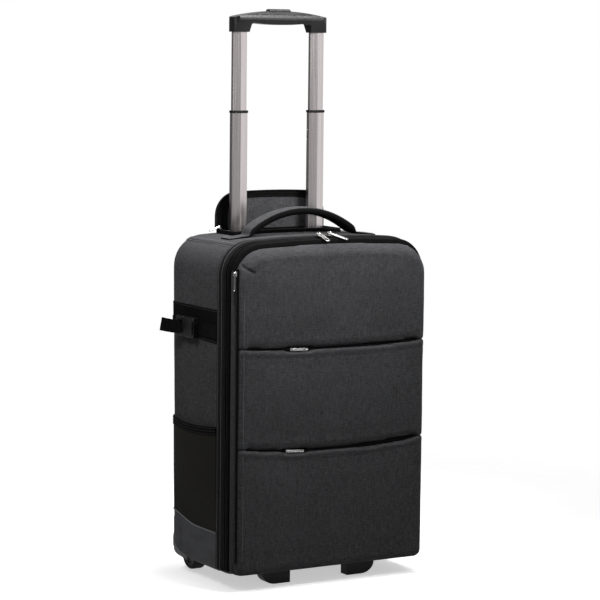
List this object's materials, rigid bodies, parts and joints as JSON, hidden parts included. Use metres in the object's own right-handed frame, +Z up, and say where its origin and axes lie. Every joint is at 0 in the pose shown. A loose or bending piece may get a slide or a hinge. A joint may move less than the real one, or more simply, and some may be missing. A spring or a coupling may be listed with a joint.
{
  "type": "rolling flight case",
  "caption": "Soft-sided upright rolling case with a zipped front lid, outer pockets, padded carry handle, telescopic pull handle and recessed rear wheels.",
  "frame": {"origin": "on the floor, under the middle of the case's box", "axes": "+Z up, the front with the lid faces -Y, the width runs along X"},
  "size_m": [0.4258, 0.2318, 0.925],
  "materials": {
    "charcoal_fabric": "woven, matt",
    "black_tape": "ribbed, matt",
    "black_mesh": "open mesh",
    "guard_panel": "coated, smooth",
    "stiff_board": "matt",
    "black_plastic": "satin",
    "tube_alloy": "satin anodised",
    "nickel": "polished",
    "steel": "plain",
    "wheel_rubber": "matt",
    "hub_plastic": "matt"
  },
  "bodies": {
    "case": {"case_shell": "charcoal_fabric", "inner_board": "stiff_board", "base_guards": "guard_panel", "body_zip_tape": "black_tape", "hinge_pipings": "black_tape", "foot_bar": "black_plastic", "case_screws": "steel", "wheel_housings": "black_plastic", "wheel_axles": "steel", "trolley_tray": "black_plastic", "outer_tubes": "tube_alloy", "trolley_bracket": "black_plastic", "pocket_rim_tape": "black_tape", "handle_anchors": "charcoal_fabric", "strap_patches": "black_tape", "side_straps": "black_tape", "buckle_sockets": "black_plastic", "mesh_pockets": "black_mesh", "pocket_hems": "black_tape"},
    "lid": {"lid_shell": "charcoal_fabric", "lid_zip_tape": "black_tape", "upper_panel": "charcoal_fabric", "middle_pocket": "charcoal_fabric", "lower_pocket": "charcoal_fabric", "pocket_zip_tapes": "black_tape", "side_zip_tape": "black_tape"},
    "left_zip": {"left_main_slider": "nickel"},
    "left_zip_pull": {"left_main_pull": "nickel"},
    "right_zip": {"right_main_slider": "nickel"},
    "right_zip_pull": {"right_main_pull": "nickel"},
    "upper_zip": {"upper_pocket_slider": "nickel"},
    "upper_zip_pull": {"upper_pocket_pull": "nickel"},
    "lower_zip": {"lower_pocket_slider": "nickel"},
    "lower_zip_pull": {"lower_pocket_pull": "nickel"},
    "side_zip": {"side_slider": "nickel"},
    "side_zip_pull": {"side_pull": "nickel"},
    "flap_zip": {"flap_slider": "nickel"},
    "flap_zip_pull": {"flap_pull": "nickel"},
    "trolley_middle": {"middle_tubes": "tube_alloy", "middle_collars": "black_plastic"},
    "trolley_inner": {"inner_tubes": "tube_alloy", "tube_plugs": "black_plastic", "grip_base": "black_plastic", "grip_cover": "black_plastic", "return_springs": "steel"},
    "release": {"release_button": "black_plastic", "push_rods": "steel"},
    "left_wheel": {"left_tyre": "wheel_rubber", "left_hub": "hub_plastic", "left_bearings": "steel"},
    "right_wheel": {"right_tyre": "wheel_rubber", "right_hub": "hub_plastic", "right_bearings": "steel"},
    "handle": {"carry_handle": "charcoal_fabric"},
    "flap": {"flap_panel": "charcoal_fabric", "flap_zip_tape": "black_tape"},
    "left_clip": {"left_buckle_clip": "black_plastic", "left_strap_tail": "black_tape"},
    "right_clip": {"right_buckle_clip": "black_plastic", "right_strap_tail": "black_tape"}
  },
  "joints": [
    {"name": "lid_hinge", "type": "hinge", "parent": "case", "child": "lid", "pos_m": [0, -0.0792, 0.026], "axis": [1, 0, 0], "range_deg": [0, 90]},
    {"name": "left_zip_run", "type": "hinge", "parent": "lid", "child": "left_zip", "pos_m": [0, -0.0794, -1.42425], "axis": [0, 1, 0], "range_deg": [-3, 0]},
    {"name": "left_pull_swing", "type": "hinge", "parent": "left_zip", "child": "left_zip_pull", "pos_m": [-0.01003, -0.0794, 0.56627], "axis": [0.9976, -0.0698, 0.005], "range_deg": [-140, 0]},
    {"name": "right_zip_run", "type": "hinge", "parent": "lid", "child": "right_zip", "pos_m": [0, -0.0794, -1.42425], "axis": [0, 1, 0], "range_deg": [0, 3]},
    {"name": "right_pull_swing", "type": "hinge", "parent": "right_zip", "child": "right_zip_pull", "pos_m": [0.01003, -0.0794, 0.56627], "axis": [0.891, 0.454, -0.0045], "range_deg": [-140, 0]},
    {"name": "upper_zip_run", "type": "hinge", "parent": "lid", "child": "upper_zip", "pos_m": [0, -0.1103, 3.02833], "axis": [0, 1, 0], "range_deg": [-4.4, 1.3]},
    {"name": "upper_pull_swing", "type": "hinge", "parent": "upper_zip", "child": "upper_zip_pull", "pos_m": [-0.076, -0.1141, 0.38609], "axis": [0.0288, 0, 0.9996], "range_deg": [-110, 0]},
    {"name": "lower_zip_run", "type": "hinge", "parent": "lid", "child": "lower_zip", "pos_m": [0, -0.1103, 1.66668], "axis": [0, 1, 0], "range_deg": [-8.2, 2.2]},
    {"name": "lower_pull_swing", "type": "hinge", "parent": "lower_zip", "child": "lower_zip_pull", "pos_m": [-0.082, -0.1141, 0.22333], "axis": [0.0567, 0, 0.9984], "range_deg": [-110, 0]},
    {"name": "side_zip_run", "type": "slide", "parent": "lid", "child": "side_zip", "axis": [0, 0, 1], "range_m": [-0.42, 0]},
    {"name": "side_pull_swing", "type": "hinge", "parent": "side_zip", "child": "side_zip_pull", "pos_m": [-0.1797, -0.1075, 0.51], "axis": [0, 1, 0], "range_deg": [0, 140]},
    {"name": "flap_zip_run", "type": "slide", "parent": "case", "child": "flap_zip", "axis": [0, 1, 0], "range_m": [-0.045, 0]},
    {"name": "flap_pull_swing", "type": "hinge", "parent": "flap_zip", "child": "flap_zip_pull", "pos_m": [-0.1015, 0.0875, 0.56799], "axis": [0, 1, 0], "range_deg": [0, 120]},
    {"name": "trolley_stage_one", "type": "slide", "parent": "case", "child": "trolley_middle", "axis": [0, 0, 1], "range_m": [-0.224, 0]},
    {"name": "trolley_stage_two", "type": "slide", "parent": "trolley_middle", "child": "trolley_inner", "axis": [0, 0, 1], "range_m": [-0.126, 0]},
    {"name": "button_press", "type": "slide", "parent": "trolley_inner", "child": "release", "axis": [0, 0, 1], "range_m": [-0.0025, 0], "stiffness_N_per_m": 900, "springref_m": 0.004, "deforming": ["return_springs"]},
    {"name": "left_wheel_roll", "type": "hinge", "parent": "case", "child": "left_wheel", "pos_m": [-0.143, 0.088, 0.026], "axis": [1, 0, 0], "continuous": true},
    {"name": "right_wheel_roll", "type": "hinge", "parent": "case", "child": "right_wheel", "pos_m": [0.143, 0.088, 0.026], "axis": [1, 0, 0], "continuous": true},
    {"name": "handle_swing", "type": "hinge", "parent": "case", "child": "handle", "pos_m": [0, 0.0005, 0.5656], "axis": [1, 0, 0], "range_deg": [-20, 20]},
    {"name": "flap_hinge", "type": "hinge", "parent": "case", "child": "flap", "pos_m": [0, 0.0985, 0.562], "axis": [1, 0, 0], "range_deg": [-80, 5]},
    {"name": "left_clip_release", "type": "slide", "parent": "case", "child": "left_clip", "axis": [0, 1, 0], "range_m": [0, 0.026]},
    {"name": "right_clip_release", "type": "slide", "parent": "case", "child": "right_clip", "axis": [0, 1, 0], "range_m": [0, 0.026]}
  ]
}
